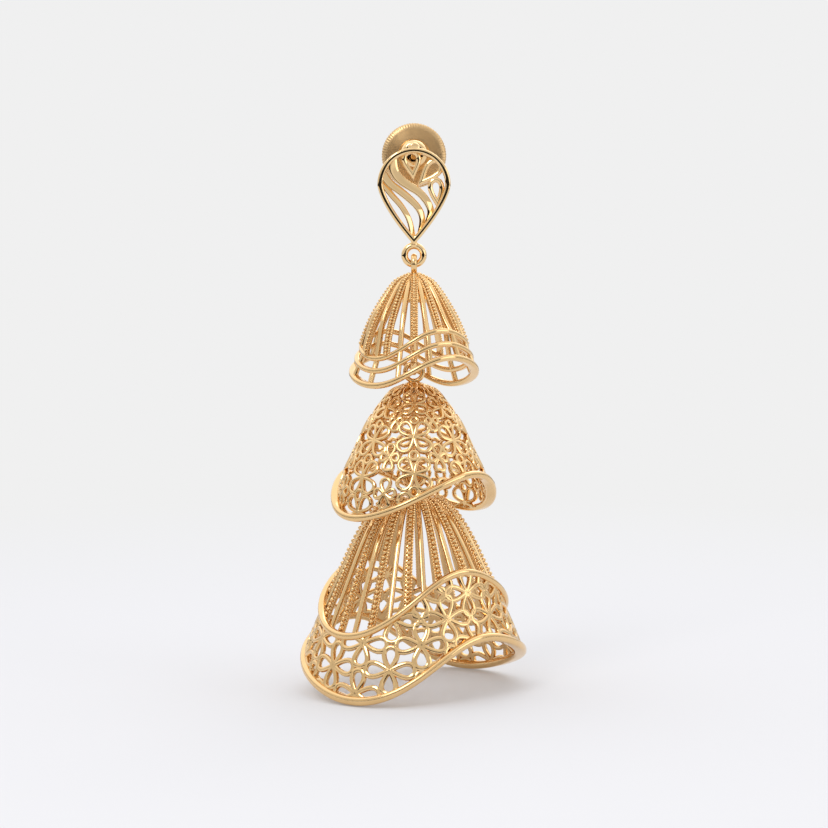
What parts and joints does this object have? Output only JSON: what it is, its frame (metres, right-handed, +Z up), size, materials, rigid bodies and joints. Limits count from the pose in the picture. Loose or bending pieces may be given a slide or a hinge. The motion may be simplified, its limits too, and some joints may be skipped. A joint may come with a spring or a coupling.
{
  "type": "jhumka earring",
  "caption": "Tiered jhumka drop earring in yellow gold: pear stud with screw back, a ribbed bell, a filigree bell and a ribbed bell with a flared filigree skirt.",
  "frame": {"origin": "on the axis of the ear post, at the middle of the stud's thickness", "axes": "+Z up; the front faces -Y; the ear post runs along +Y; +X is to the right as seen from the front"},
  "size_m": [0.0228, 0.0238, 0.0571],
  "materials": {
    "polished_gold": "polished",
    "satin_gold": "satin",
    "bell_gold": "polished"
  },
  "bodies": {
    "stud": {"stud_front": "polished_gold"},
    "back": {"screw_back": "satin_gold"},
    "upper": {"upper_bell": "bell_gold"},
    "middle": {"middle_bell": "bell_gold"},
    "lower": {"lower_bell": "bell_gold"}
  },
  "joints": [
    {"name": "screw_back_off", "type": "slide", "parent": "stud", "child": "back", "axis": [0, 1, 0], "range_m": [0, 0.006]},
    {"name": "upper_bell_swing", "type": "hinge", "parent": "stud", "child": "upper", "pos_m": [0, 0, -0.01157], "axis": [1, 0, 0], "range_deg": [-40, 40]},
    {"name": "middle_bell_swing", "type": "hinge", "parent": "upper", "child": "middle", "pos_m": [0, 0, -0.0223], "axis": [0, 1, 0], "range_deg": [-20, 20]},
    {"name": "lower_bell_swing", "type": "hinge", "parent": "middle", "child": "lower", "pos_m": [0, 0, -0.0337], "axis": [1, 0, 0], "range_deg": [-15, 15]}
  ]
}
